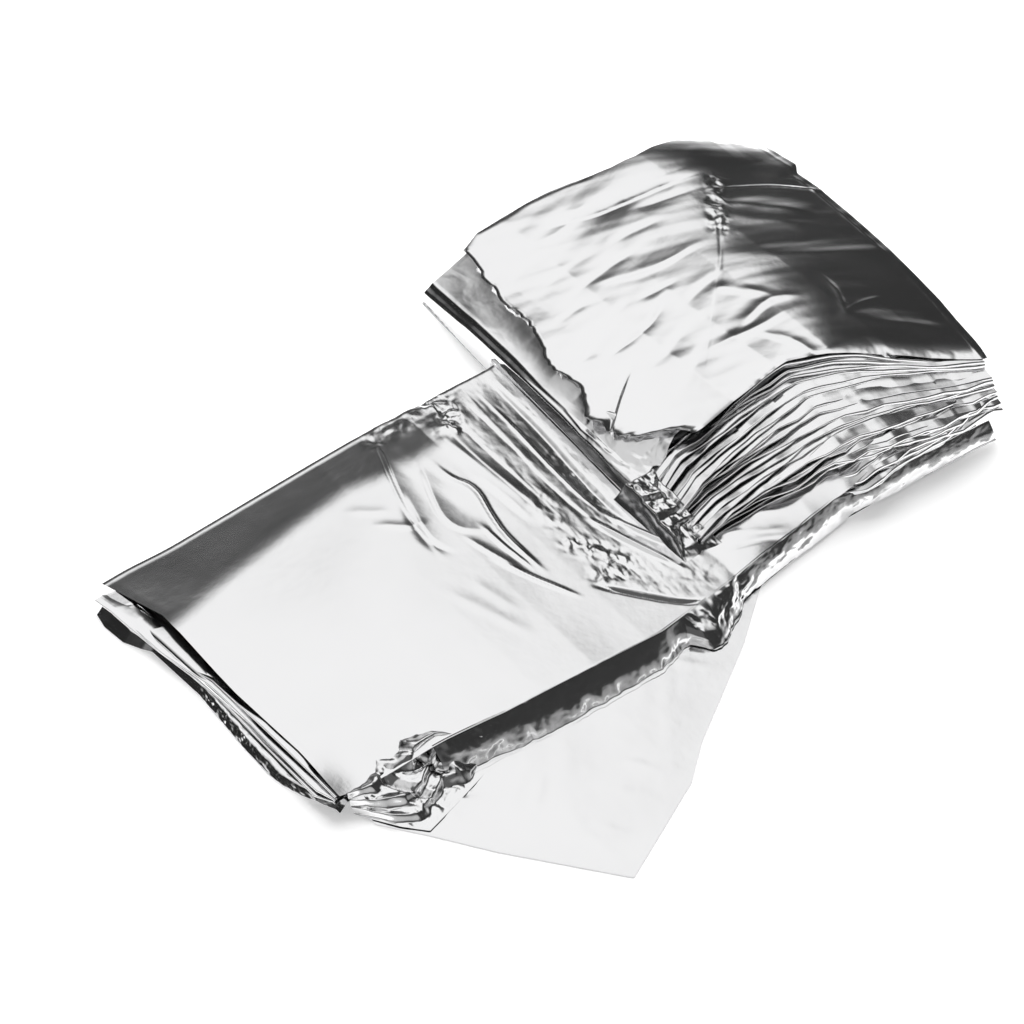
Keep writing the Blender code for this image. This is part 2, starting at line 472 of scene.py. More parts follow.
# The loose sheet: the film's lowest leaf.

LOOSE_ALONG = ((-118, 45, 0.9), (45, 145, 5))
LOOSE_ACROSS = ((-144, -70, 0.8), (-70, 44, 6))
LOOSE_OVER = 0.25
LOOSE_EDGE_Z = 0.3
LOOSE_LOWEST = 0.15
LOOSE_CREASES = (
    ([(-83, -107), (-71, -96), (-60, -89)], 0.1, 3, 3, 1),
    ([(-74, -107), (-59, -95)], 0.08, 3, 3, 1),
    ([(-62, -119), (-56, -128), (-50, -137)], 0.2, 2.5, 4.5, 0.8),
    ([(-74, -115), (-63, -126), (-55, -134)], 0.2, 4.5, 2.5, 0.8),
    ([(-67, -124), (-60, -137)], 0.14, 3, 3, 0.9),
    ([(-40, -104), (-33, -113), (-29, -120)], 0.15, 2.5, 4.5, 0.8),
    ([(-49, -112), (-41, -121), (-36, -127)], 0.13, 2.5, 4.5, 0.9),
    ([(-2, -81), (7, -91), (10, -95)], 0.2, 2.5, 3.5, 0.8),
)
LOOSE_PATCHES = (
    ([(-64, -140), (-30, -125), (20, -92)], 9, 0.10, 4, 11),
    ([(-100, -92), (-86, -86)], 14, 0.5, 6, 12),
)


def loose_film(x, y, over):
    """Return the height of the loose sheet without its creases, over its leaf."""
    return lie(0, x, y) + over + 0.25 * swell(x, y, size=42, seed=1)


def loose_sheet(material):
    """Make the lowest leaf, which reaches out in front."""
    x, y = leaf_grid(0, shares(stops(*LOOSE_ALONG)), shares(stops(*LOOSE_ACROSS)))
    z = loose_film(x, y, LOOSE_OVER) + 0.03 * crumple(x, y, size=9, seed=2)
    z = z + 0.07 * stretched(x, y, angle=53, length=60, width=7, seed=6)
    z = z + creased(x, y, LOOSE_CREASES) + crumpled(x, y, LOOSE_PATCHES)
    z = mix(LOOSE_EDGE_Z, z, ease((y - front_edge(0, x) + 1) / 40))
    film_piece("loose_sheet", x, y, z, material, held="laid", lowest=LOOSE_LOWEST)


# The flap's top leaf.

FLAP_CREASES = (
    ([(-19, 58), (-21, 43), (-28, 24), (-33, 7), (-36, -14)], 0.6, 8, 1.3, 0.15),
    ([(-28, 22), (-33, 7), (-35, -5), (-30, -14)], -0.45, 1.4, 4),
    ([(-12, 30), (-12, 17), (-8, 9), (-12, -5), (-14, -16), (-13, -38)], 0.7, 1.6, 1.8, 0.2),
    ([(-17, -4), (-17, -18), (-15, -34)], 0.35, 1.5, 1.1, 0.2),
    ([(-14, 32), (-21, 15), (-25, 3), (-23, -6), (-11, -12)], 0.4, 7, 1.4),
    ([(-45, 16), (-36, 6), (-28, 5)], 0.3, 4, 1.5, 0.5),
    ([(-48, 26), (-40, 18), (-34, 17)], 0.2, 4, 2, 0.8),
    ([(-25, -5), (-22, -20), (-17, -34)], 0.3, 3.5, 1.1, 0.25),
    ([(-24, -18), (-18, -35), (-10, -52)], 0.5, 1.4, 1.2, 0.2),
    ([(-46, -19), (-38, -39), (-32, -59)], 0.1, 4, 3, 1.2),
    ([(-35, -22), (-30, -46)], 0.08, 3, 3, 1.2),
    ([(-4, 48), (-1, 22), (1, 2), (2, -24)], 0.45, 6, 4, 1),
    ([(-5, 20), (-3, 2), (-2, -16)], 0.4, 5, 2, 0.5),
    ([(-6, -47), (1, -56), (8, -65), (14, -72), (23, -76)], -1.9, 1.6, 1, 0.1),
)
BAND_CREASES = (
    ([(27, 62), (26, 40), (25, 18), (22, -8), (21, -28), (24, -50)], -1, 2.4, 18),
    ([(14, 60), (13.5, 22), (11.5, 0), (12.5, -23), (16, -50)], -0.16, 0.9, 5),
    ([(7, 60), (5, 22), (5.5, -6), (5, -28)], -0.12, 0.9, 4),
    ([(1, 40), (0, 20), (1, 0), (2, -20)], -0.12, 0.9, 3),
    ([(20, 50), (20, 30), (18, 10), (17, -12), (19, -34)], 0.2, 1.2, 1.2, 0.2),
    ([(12, -20), (17, -40), (24, -62)], 0.9, 1.4, 2, 0.2),
    ([(18, -22), (23, -40), (32, -60)], 0.8, 1.2, 2, 0.2),
    ([(24, -26), (30, -42), (40, -58)], 0.7, 1.2, 2.2, 0.2),
    ([(34, -50), (46, -57), (62, -66)], 0.25, 1, 1.4),
    ([(36, -60), (50, -64), (60, -70)], -0.3, 0.9, 1.4),
    ([(40, -46), (52, -52), (66, -60)], 0.2, 1, 1.8),
    ([(48, -44), (60, -50), (72, -56)], -0.2, 1, 1.8),
)
FLAP_PATCHES = (
    ([(-20, 48), (-6, 49)], 9, 0.4, 5, 21),
    ([(3, 52), (8, 46), (2, 38)], 8, 0.7, 4, 28),
    ([(2, -30), (8, -40), (9, -50), (1, -46)], 8, 0.25, 3, 24),
    ([(12, -58), (24, -64), (34, -66)], 9, 0.08, 4, 29),
    ([(6, -4), (3, -20)], 7, 0.12, 3.5, 22),
    ([(22, 6), (20, -20), (20, -34)], 6, 0.12, 2.6, 23),
)
FLAP_ALONG = ((-121, -50, 0.9), (-50, 0, 0.6), (0, 34, 0.36), (34, 92, 0.9), (92, 158, 5))
FLAP_ACROSS = ((-78, -30, 0.6), (-30, 50, 0.7))
EDGE_LIP = 1.2
SWELL_FADE = (-40, 40)
SOFT_RIGHT, SOFT_BACK = (-34, 12), (-25, 30)
# The band of pleats beside the pack.
BAND_LEFT = Edge(y=(-75, -60, -30, 0, 50), x=(10, 2, 1, 3, 0))
BAND_EASE = 4
BAND_RIGHT, BAND_FRONT = (36, -6), (-76, 12)
# Where the leaf is pressed down, its film shifts along the camera's line of sight.
SIGHT_X, SIGHT_Y = 0.62, 0.83
SIGHT_FADE = (-20, 20)
# What the left end and its back corner are trimmed by.
FLAP_TRIM = Edge(y=(-70, -50, -19, -8, 12, 22, 33, 43), x=(0, 1.2, 1.6, 2.4, 4.3, 4.6, 1.4, -1.6))
TRIM_LEFT, TRIM_BACK = (-96, -22), (28, 14)


def flap_top(material):
    """Make the flap's top leaf."""
    x, y = leaf_grid(FLAP_TOP, shares(stops(*FLAP_ALONG)), shares(stops(*FLAP_ACROSS)))
    z = lie(FLAP_TOP, x, y) + FILM_OVER
    sunk = (height(FLAP_TOP, x, y) + FILM_OVER - z) * faded(y, SIGHT_FADE)
    z = z - curled(0.2, back_edge(FLAP_TOP, x) - y, EDGE_LIP)
    z = z + 0.2 * swell(x, y, size=38, seed=3) * faded(x, SWELL_FADE)
    soft = stretched(x, y, angle=100, length=30, width=6, seed=7)
    z = z + 0.08 * soft * faded(x, SOFT_RIGHT) * faded(y, SOFT_BACK)
    band = ease((x - along_y(BAND_LEFT, y)) / BAND_EASE) * faded(x, BAND_RIGHT) * faded(y, BAND_FRONT)
    pleats = 0.06 * stretched_crumple(x - 0.06 * y, y, length=26, width=3.6, seed=8)
    pleats = pleats + 0.03 * crumple(x, y, size=2.4, seed=9)
    z = z + band * pleats + creased(x, y, BAND_CREASES)
    z = z + creased(x, y, FLAP_CREASES) + crumpled(x, y, FLAP_PATCHES)
    x = x + SIGHT_X * sunk + along_y(FLAP_TRIM, y) * faded(x, TRIM_LEFT)
    y = y + SIGHT_Y * sunk + 1.2 * faded(y, TRIM_BACK) * faded(x, TRIM_LEFT)
    film_piece("flap_top", x, y, z, material)


# The flap's front side: the film rolls over the edge of the top leaf and down to the loose sheet.

Roll = namedtuple("Roll", "x reach spread crumple")
ROLL = Roll(
    x=(-92, -84, -60, -6, 3, 8, 12, 18, 26, 34, 42, 80, 95, 120, 151),
    reach=(13, 14.5, 14.5, 14.5, 12, 9.5, 10, 10.5, 10, 9, 5.5, 6, 8, 9, 9),
    spread=(1.2, 1.3, 1.15, 1, 0.8, 1, 2, 2.1, 1.5, 0.9, 0.8, 0.8, 0.8, 0.8, 0.8),
    crumple=(0.5, 0.3, 0.2, 0.1, 0.1, 0.25, 0.8, 0.9, 0.9, 0.8, 0.35, 0.2, 0.15, 0.15, 0.15),
)
ROLL_TOP = Edge(x=(80, 95, 120, 151), y=(0, 5.5, 6, 6))
ROLL_SPAN = (-85, 146, 0.6)
ROLL_OVER = 0.75
ROLL_FOOT = 0.8
ROLL_TILT = Edge(x=(0, 0.05, 0.14, 0.45, 0.6, 1), y=(8, 33, 41, 46, 58, 66))
ROLL_ROWS = 40
# Towards the left end the roll steepens sooner.
HURRY = 0.7
HURRY_FADE = (-40, -40)
# Left of the pack the roll is a wall, with long folds on its lower part.
LOWER = (0.4, 0.3)
WALL_LEFT, WALL_RIGHT = (-85, 6), (9, -3)
FINE_FROM_X = 86


def flap_front(material):
    """Make the film that rolls down in front of the flap's top leaf."""
    x = stops(ROLL_SPAN)
    down = np.linspace(0, 1, ROLL_ROWS)
    hurry = 1 + HURRY * faded(x, HURRY_FADE)[:, None]
    tilt = np.radians(along_x(ROLL_TILT, np.minimum(down * hurry, 1)))
    step = np.diff(down, prepend=0)
    top = lie(FLAP_TOP, x, front_edge(FLAP_TOP, x)) + ROLL_OVER - along_x(ROLL_TOP, x)
    needed = (top - ROLL_FOOT) / np.sum(step * np.sin(tilt), axis=1)
    reach = np.maximum(np.interp(x, ROLL.x, ROLL.reach), needed)[:, None]
    spread = np.interp(x, ROLL.x, ROLL.spread)[:, None]
    rough = np.interp(x, ROLL.x, ROLL.crumple)[:, None]
    x = x[:, None] + 0 * down
    out = np.cumsum(step * np.cos(tilt), axis=1) * reach * spread
    fall = np.cumsum(step * np.sin(tilt), axis=1) * reach
    y = front_edge(FLAP_TOP, x) + 0.6 - out
    z = top[:, None] - fall
    lower = faded(down, LOWER)
    wall = faded(x, WALL_LEFT) * faded(x, WALL_RIGHT)
    along = reach * down
    out = rough * mix(ease(down / 0.1), 1, lower)
    y = y - 0.8 * out * crumple(x, 1.2 * reach * down, size=4.5, seed=27)
    y = y - 0.4 * wall * lower * stretched_crumple(x, along, length=9, width=3.2, seed=28)
    z = z + 0.3 * wall * lower * swell(x, along, size=6, seed=29)
    facet = np.where(x > FINE_FROM_X, 2.4, 5)
    z = z + 0.55 * rough * ease(down / 0.15) * crumple(x, along, size=facet, seed=30)
    film_piece("flap_front", x, y, np.maximum(z, loose_film(x, y, LOOSE_OVER) + 0.05), material)


# The twisted corner of the flap, over the loose sheet.


TWIST_LOW = Edge(x=(-115, -112, -107, -101, -88, -76, -70), y=(-75, -80, -87.5, -94, -90, -86, -82))
TWIST_HIGH = Edge(x=(-115, -109, -101, -91, -82, -76, -70), y=(-70.5, -67, -64, -63, -66, -72, -77))
TWIST_CREASES = (
    ([(-104, -66), (-102, -74), (-99, -80), (-94, -84), (-92, -90)], -1.6, 3, 1.5, 0.2),
    ([(-99, -72), (-92, -76), (-86, -74), (-80, -70)], -1.4, 3, 1.6, 0.2),
    ([(-95, -64), (-90, -72), (-84, -80), (-80, -86)], -1.2, 1.6, 3, 0.2),
    ([(-110, -76), (-104, -80), (-98, -86)], 0.9, 2.5, 1.2, 0.2),
)


TWIST_TERRACES = 3
TWIST_HEIGHT = 1.2
# The twist tucks into the flap at its back and at its right.
TUCK_BACK, TUCK_RIGHT = (0.7, 0.3), (0.72, 0.25)
TWIST_EDGE = 0.12


def corner_twist(material):
    """Make the crumpled corner at the flap's front left."""
    u, v = unit_grid(100, 80)
    x = mix(TWIST_LOW.x[0], TWIST_LOW.x[-1], u) + 0 * v
    y = mix(along_x(TWIST_LOW, x), along_x(TWIST_HIGH, x), v)
    floor_z = loose_film(x, y, 0.3)
    top_z = lie(FLAP_TOP, x, y) + FILM_OVER + TWIST_HEIGHT
    climb = terraced(v / 0.75, TWIST_TERRACES, 0.6 * facets(x, y, size=10, seed=73))
    z = mix(floor_z, top_z, climb) - 2 * faded(v, TUCK_BACK) - 3 * faded(u, TUCK_RIGHT)
    edge = ease(np.minimum(np.minimum(u, 1 - u), v) / TWIST_EDGE)
    rough = 0.8 * crumple(x, y, size=9, seed=71) + 0.15 * crumple(x, y, size=3.5, seed=72)
    z = z + mix(0.15, 1, edge) * rough + edge * creased(x, y, TWIST_CREASES)
    film_piece("corner_twist", x, y, z, material, lowest=floor_z - 0.05)


# The folds at the flap's left end.

Line = namedtuple("Line", "y x z")
FAN_TOP = Line(
    y=(-68, -38, -8, 1, 13, 31, 43),
    x=(-119, -120, -120.5, -122, -124.5, -125, -126.5),
    z=(6.8, 6.9, 5.6, 3.9, 3.2, 3.6, 3.4),
)
FAN_LOW = Line(
    y=(-70, -64, -32, -13, -2, 17, 27, 36, 43),
    x=(-119, -122, -123, -123, -124, -126.5, -128.5, -129.5, -130.6),
    z=(3.6, 2.4, 2.6, 2.6, 2.4, 2.4, 4, 4.2, 3.8),
)
END_FOOT = Edge(
    y=(-70, -64, -57, -50, -33, -7, 17, 20, 26, 35, 41, 43.5),
    x=(-118, -121, -124, -126, -126, -124.5, -126, -128, -131, -132, -131, -129),
)
FAN_SPAN = (-71, 43.5, 0.5)
FAN_FOLDS = 3
FAN_DEPTH = 7
FAN_ROUND = 0.2
FAN_LOWEST = 0.2
# Where the fan's top fold gapes, and the angles in degrees at which the folds slope inwards.
FAN_GAP = Edge(y=(-34, -4, 18, 38), x=(0, 1, 1, 0))
FAN_SLOPE, GAP_SLOPE = -5, 24


def line_z(line, y):
    """Return the height of a line that runs along Y."""
    return np.interp(y, line.y, line.z)


def flap_end(material):
    """Make the fan of folds at the flap's left end."""
    y = stops(FAN_SPAN)
    folds = []
    for fold in range(FAN_FOLDS):
        share = (fold + 0.3) / (FAN_FOLDS - 0.5)
        x = mix(along_y(FAN_LOW, y), along_y(FAN_TOP, y), share) + 0.5 * wander(y, 30, 130 + fold)
        z = mix(line_z(FAN_LOW, y), line_z(FAN_TOP, y), share) + 0.15 * wander(y, 23, 140 + fold)
        gap = along_y(FAN_GAP, y) if fold == FAN_FOLDS - 1 else 0
        slope = mix(FAN_SLOPE + 7 * wander(y, 19, 150 + fold), GAP_SLOPE, gap)
        folds.append(Fold(x, y, z, FAN_DEPTH + 0 * y, slope, FAN_ROUND + 0 * y))
    x, y, z = edge_stack(folds, inward=(1, 0, 0), lip=0)
    highest = lie(FLAP_TOP, x, y) - 0.2 + 1.5 * np.maximum(along_y(FLAP_END, y) - x, 0)
    film_piece("flap_end", x, y, np.maximum(np.minimum(z, highest), FAN_LOWEST), material)


STRIP_SPAN = (-72, 43.5, 0.4)
STRIP_STEP = 0.92
STRIP_TUCK = 9
STRIP_EDGE_Z = 0.15
STRIP_LOWEST = 0.12
ROUGH_BACK, ROUGH_FRONT, ROUGH_TOP = (-3, -8), (-70, 6), (0.75, -0.1)


def end_strip(material):
    """Make the lowest fold at the flap's left end, which slopes to the floor."""
    y = stops(STRIP_SPAN)[:, None]
    v = np.linspace(0, 1, 26)[None, :]
    top_z = line_z(FAN_LOW, y) - 0.4
    climb = np.clip(v / 0.7, 0, 1)
    x = along_y(END_FOOT, y) + STRIP_STEP * top_z * climb + STRIP_TUCK * np.clip((v - 0.7) / 0.3, 0, 1)
    rough = faded(y, ROUGH_BACK) * faded(y, ROUGH_FRONT) * faded(v, ROUGH_TOP)
    z = mix(STRIP_EDGE_Z, top_z, climb) + 0.45 * rough * crumple(1.6 * x, y, size=3.2, seed=74)
    film_piece("end_strip", x, y + 0 * v, z, material, lowest=STRIP_LOWEST)


# The pack's top leaf.

TOP_LEFT = Edge(
    y=(-32, -25, -20, -17, -13, -8, 1, 6, 17, 30, 48, 64, 78, 88, 97, 104),
    x=(58, 54, 51, 47, 40, 36.5, 36, 33.5, 40, 39.5, 45, 47, 48.5, 51, 52, 55),
)
TOP_CREASES = (
    ([(74, 85), (92, 78), (103, 76), (116, 74), (142, 70)], -1.5, 5, 17),
    ([(102, 72), (118, 68), (134, 65)], -0.35, 3, 6, 0.4),
    ([(62, 51), (77, 54), (98, 54)], -0.28, 2.5, 5, 0.6),
    ([(70, 53), (87, 44), (97, 42), (116, 42)], 0.4, 9, 2.2, 0.4),
    ([(52, 22), (69, 22), (78, 24), (91, 33)], -0.5, 2.5, 5),
    ([(77, 35), (94, 32)], -0.25, 2, 3.5, 0.4),
    ([(44, 25), (58, 29), (72, 31)], -0.26, 3, 4.5, 1),
    ([(60, 7), (71, 9), (86, 14)], -0.26, 3, 5, 1),
    ([(66, 81), (80, 79), (98, 85)], 0.16, 4, 3, 0.8),
    ([(58, 61), (72, 64), (84, 62)], -0.12, 2.5, 3.5, 0.7),
    ([(53, 72), (64, 75), (74, 73)], -0.18, 2.5, 4, 0.8),
    ([(51, 46), (70, 46)], -0.18, 2.5, 3.5, 0.7),
    ([(57, -9), (72, -4), (86, 7)], -0.28, 3, 5.5, 1),
    ([(84, 62), (98, 62), (112, 60)], -0.35, 3, 6, 0.8),
    ([(56, 34), (66, 38), (78, 38)], 0.25, 5, 2.5, 0.8),
    ([(86, 20), (96, 24), (108, 24)], -0.3, 3, 5, 0.8),
    ([(138, 65), (126, 53), (113, 34), (96, 16), (79, 0), (64, -14), (55, -19)], -0.11, 0.9, 0.9, 0.2),
    ([(124, 66), (145, 58), (155, 52), (170, 37)], 0.3, 1, 2, 0.2),
    ([(127, 58), (142, 44), (155, 31)], 0.5, 6, 5, 2),
    ([(123, 52), (137, 38), (149, 27)], 0.35, 5, 5, 2),
    ([(108, 30), (132, 16), (146, 8), (166, -2)], 0.7, 10, 8, 2),
    ([(117, -17), (136, -29), (153, -41)], 0.5, 7, 6, 1.8),
    ([(130, 6), (129, -7), (121, -21)], 0.2, 1.2, 2.5, 0.5),
    ([(118, -18), (132, -15), (145, -16)], 0.2, 1.5, 2.5, 0.5),
    ([(88, -2), (107, 4), (118, -3)], 0.45, 5, 2.5, 0.6),
    ([(94, -5), (100, -19), (101, -32)], 0.4, 4, 2.5, 0.6),
    ([(76, 1), (96, -6), (116, -6)], 0.45, 5, 3, 0.7),
    ([(98, 23), (111, 1)], 0.35, 3.5, 3, 0.8),
    ([(28, -12), (38, -2), (49, 7), (60, 14)], -0.7, 6, 1),
)
TOP_PATCHES = (
    ([(137, 66), (127, 54), (120, 44)], 6, 0.25, 2.6, 31),
    ([(80, -24), (112, -34), (148, -54)], 4, 0.15, 4, 34),
)
TOP_ALONG = (30, 164, 0.65)
TOP_ACROSS = (-40, 105, 0.7)
TOP_ROUNDS = 8
TOP_OVER = 0.9
# The leaf rises towards its back, and its edges curl down and its torn one up.
LIFT_Y, LIFT_SLOPE, LIFT_START = 62, 0.15, 20
LIFT_FADE = (156, -50)
BACK_CURL, BACK_ROLL = 2.6, 24
CURL_FADE = (108, -10)
RIGHT_CURL = 1.6
FRONT_CURL = Edge(x=(60, 105, 120), y=(2, 3, 9))
TORN_REACH = Edge(y=(2, 12), x=(5, 2.2))
TORN_LIFT = Edge(y=(2, 12), x=(1.2, 0.6))
SOFT_FADE = (125, -40)
# The back right corner sticks out.
POINT_OUT, POINT_BACK, POINT_RIGHT = 3.2, (55, 6), (150, 14)
BACK_TRIM = Edge(
    x=(90, 98, 105, 112, 122, 130, 145, 152, 164),
    y=(2.6, 3.4, 5, 5.6, 4.6, 1.8, -1, -4.5, -14),
)
ROLL_SLOPE = Edge(x=(98, 130, 145, 155), y=(0, 0.005, 0.03, 0.06))


def top_grid():
    """Return X and Y grids over the pack's top leaf, and the distance from its torn left edge."""
    u = shares(stops(TOP_ALONG))[:, None]
    v = shares(stops(TOP_ACROSS))[None, :]
    y = 0 * u * v
    for _ in range(TOP_ROUNDS):
        ragged = wander(y, 5, 41) + 0.5 * wander(y, 1.7, 42)
        x = mix(along_y(TOP_LEFT, y) + ragged, right_end(TOP_LEAF, y), u)
        back = back_edge(TOP_LEAF, x) - along_x(BACK_TRIM, x)
        y = mix(y, mix(front_edge(TOP_LEAF, x), back, v), 0.7)
    return x, y, x - (along_y(TOP_LEFT, y) + ragged)


def top_edges(x, y, torn):
    """Return what the curling edges add to the height of the pack's top leaf."""
    back = back_edge(TOP_LEAF, x) - y
    right = right_end(TOP_LEAF, y) - x
    lift = along_y(TORN_LIFT, y) * np.clip(1 - torn / along_y(TORN_REACH, y), 0, 1) ** 2
    lift = lift + 0.1 * np.exp(-(((right - 2.6) / 0.5) ** 2)) - curled(0.06, right, RIGHT_CURL)
    lift = lift - curled(0.2, y - front_edge(TOP_LEAF, x), along_x(FRONT_CURL, x))
    lift = lift - curled(0.17 * faded(x, CURL_FADE), back - along_x(BACK_TRIM, x), BACK_CURL)
    return lift - curled(along_x(ROLL_SLOPE, x), back, BACK_ROLL)


def pack_top(material):
    """Make the pack's top leaf."""
    x, y, torn = top_grid()
    z = lie(TOP_LEAF, x, y) + TOP_OVER + top_edges(x, y, torn)
    z = z + LIFT_SLOPE * eased_drop(y - LIFT_Y, LIFT_START) * faded(x, LIFT_FADE)
    z = z + 0.1 * stretched(x, y, angle=15, length=24, width=6.5, seed=4) * faded(x, SOFT_FADE)
    z = z + 0.08 * stretched(x, y, angle=-22, length=26, width=4.5, seed=44)
    z = z + 0.5 * swell(x, y, size=34, seed=43)
    z = z + creased(x, y, TOP_CREASES) + crumpled(x, y, TOP_PATCHES)
    x = x + POINT_OUT * faded(y, POINT_BACK) * faded(x, POINT_RIGHT)
    film_piece("pack_top", x, y, z, material)


# The film that folds over at the pack's left, beyond the torn edge of its top leaf: its slope in degrees
# at distances along it, the even slope of its back part, and how deep it falls.

FOLD_TILT = Edge(
    x=(-2, -1.5, 3, 4.5, 8, 12.4, 13, 13.4, 14.2, 14.6, 15.6, 16, 16.6, 17, 26),
    y=(0, 24, 25, 26, 18, 9, 8, 38, 38, 22, 22, 46, 48, 80, 86),
)
FOLD_BACK = 16
FOLD_SIZE = Edge(y=(-34, -15, 10, 35, 60, 95), x=(0.6, 0.7, 0.7, 0.8, 1, 1.15))
FOLD_FRONT = Edge(x=(0, 10, 26), y=(-20, -26, -32))
FOLD_BACK_Y = 99
FOLD_START = -3.5
FOLD_ALONG = ((FOLD_START, 4, 0.5), (4, 18, 0.25), (18, 26, 0.5))
FOLD_ACROSS = (-33, 98, 0.55)
FOLD_UNDER = 7
FOLD_OVER = 0.85
EVEN_BACK, EVEN_NEAR = (52, 22), (12.6, -1)
BRIGHT_FADE, FLAT_FADE = (14, -12), (0, 3)
OVER_FLAP, OVER_FLOOR = 1.2, 1


def pack_fold(material):
    """Make the film that folds over at the pack's left."""
    arc = stops(*FOLD_ALONG)[None, :]
    y = mix(along_x(FOLD_FRONT, arc), FOLD_BACK_Y, shares(stops(FOLD_ACROSS))[:, None])
    even = faded(y, EVEN_BACK) * faded(arc, EVEN_NEAR)
    tilt = np.radians(mix(along_x(FOLD_TILT, arc), FOLD_BACK, even))
    step = np.diff(arc, prepend=FOLD_START)
    out = np.cumsum(step * np.cos(tilt), axis=1)
    fall = np.cumsum(step * np.sin(tilt), axis=1) * along_y(FOLD_SIZE, y)
    edge = np.where(y > 0, along_y(TOP_LEFT, y), np.minimum(along_y(TOP_LEFT, y), 47))
    x = mix(edge + FOLD_UNDER, left_end(TOP_LEAF, y), out / out[:, -1:])
    z = height(TOP_LEAF, x, y) + FOLD_OVER - fall - 0.15 * np.maximum(-arc, 0)
    rough = (0.05 + 0.3 * faded(y, BRIGHT_FADE)) * crumple(x, 0.6 * y, size=5, seed=75)
    z = z + (rough + 0.1 * swell(x, y, size=9, seed=76)) * faded(arc, FLAT_FADE)
    over = y < back_edge(FLAP_TOP, x) + 2
    z = np.maximum(z, np.where(over, lie(FLAP_TOP, x, y) + OVER_FLAP, OVER_FLOOR))
    film_piece("pack_fold", x, y, z, material)


# The knot: its left and right, and its back and front.

KNOT_X = (24, 41)
KNOT_Y = (-20, -61)
KNOT_TERRACES = 5
KNOT_UNDER = 0.3
KNOT_EDGE = 0.3


def pack_corner(material):
    """Make the crumpled knot at the pack's front left corner."""
    u, v = unit_grid(90, 70)
    x = mix(*KNOT_X, u) + 0 * v
    y = mix(*KNOT_Y, v) + 0 * u
    low = lie(FLAP_TOP, x, y) - KNOT_UNDER
    foot = front_edge(FLAP_TOP, x)
    climb = np.clip((y - foot) / (front_edge(TOP_LEAF, x) - foot), 0, 1)
    climb = terraced(climb, KNOT_TERRACES, 0.6 * facets(x, y, size=6, seed=79))
    z = mix(low, lie(TOP_LEAF, x, y) + FILM_OVER, climb)
    z = z + 0.7 * crumple(x, y, size=5, seed=77) + 0.18 * crumple(x, y, size=2.2, seed=78)
    edge = np.minimum(np.minimum(1 - u, 1 - v), np.minimum(2 * u, 2 * v))
    film_piece("pack_corner", x, y, mix(low, z, ease(edge / KNOT_EDGE)), material)


# A bundle of film layers, folded to a strip and then laid back and forth with the leaves from the
# first to the last.  It is inset from their front edge, tucked in from their left end and short of
# their right end.

Bundle = namedtuple("Bundle", "name first last step inset tuck short")
BUNDLES = (
    Bundle("flap_layers", first=1, last=FLAP_TOP - 1, step=3, inset=7, tuck=5, short=7),
    Bundle("pack_layers", first=FLAP_LEAVES, last=TOP_LEAF - 1, step=2.5, inset=14, tuck=22, short=4),
)
BUNDLE_LAYERS = 6
BUNDLE_SHARE = 0.72
BUNDLE_WIDTH = 125
BUNDLE_LOWEST = 0.1
FOLD_STEPS = 8
# Places across a layer, from its edges.
LAYER_PLACES = np.array([0, 1.6, 2.4, 4, 8, 25])


def film_rows(row, across):
    """Return the middle surface of a bundle, through its leaves and the folds between them."""
    blocks = []
    for index in range(row.first, row.last + 1):
        length = right_end(index, 0) - left_end(index, 0)
        along = np.linspace(row.tuck / length, 1 - row.short / length, int(length / row.step) + 2)
        x, y = leaf_grid(index, along, across)
        leaf = np.stack([x, y, lie(index, x, y)], axis=-1)
        if not runs_right(index):
            leaf = leaf[::-1]
        if blocks:
            low, high = blocks[-1][-1], leaf[0]
            outward = -1 if runs_right(index) else 1
            turn = np.pi * np.arange(1, FOLD_STEPS)[:, None, None] / FOLD_STEPS
            fold = mix(low, high, 0.5 - 0.5 * np.cos(turn))
            fold[..., 0] = low[:, 0] + outward * (high[:, 2] - low[:, 2]) / 2 * np.sin(turn[..., 0])
            blocks.append(fold)
        blocks.append(leaf)
    return np.concatenate(blocks)


def bundle(row, material):
    """Make the layers that run through some leaves, as one zigzag sheet."""
    places = np.concatenate([row.inset + LAYER_PLACES, BUNDLE_WIDTH - LAYER_PLACES[::-1]])
    middle = film_rows(row, places / BUNDLE_WIDTH)
    normal = np.cross(np.gradient(middle, axis=0), np.gradient(middle, axis=1))
    normal /= np.linalg.norm(normal, axis=-1, keepdims=True)
    travel = np.concatenate([[0], np.cumsum(np.linalg.norm(np.diff(middle[:, 0], axis=0), axis=-1))])
    thick = BUNDLE_SHARE * rise(middle[..., 0], middle[..., 1])[..., None]
    gap = 1 / (BUNDLE_LAYERS - 1)
    columns = []
    for layer in range(BUNDLE_LAYERS):
        sway = 0.25 * gap * swell(travel, 0 * travel, size=23, seed=50 + layer)
        face = middle + normal * thick * (layer * gap - 0.5 + sway[:, None, None])
        face[:, 0, 1] += 1.4 * wander(travel, 13, 60 + layer // 2)
        face[:, -1, 1] -= 0.5 + 1.2 * wander(travel, 15, 80 + (layer + 1) // 2)
        columns.append(face[:, ::-1] if layer % 2 else face)
    x, y, z = np.moveaxis(np.concatenate(columns, axis=1), -1, 0)
    film_piece(row.name, x, y, np.maximum(z, BUNDLE_LOWEST), material)


# The stack of folded edges along the front of the pack.

FRONT_SPAN = (33, 150, 0.6)
FRONT_LAYERS = 42
FRONT_LEAF = 2
TREAD = 5
TIP_LIP = 0.1
GAP_UNDER_TOP = Edge(x=(28, 44, 55, 68, 85, 115, 125, 150), y=(0.8, 3, 3.4, 1.6, 1, 1, 2.6, 1.8))
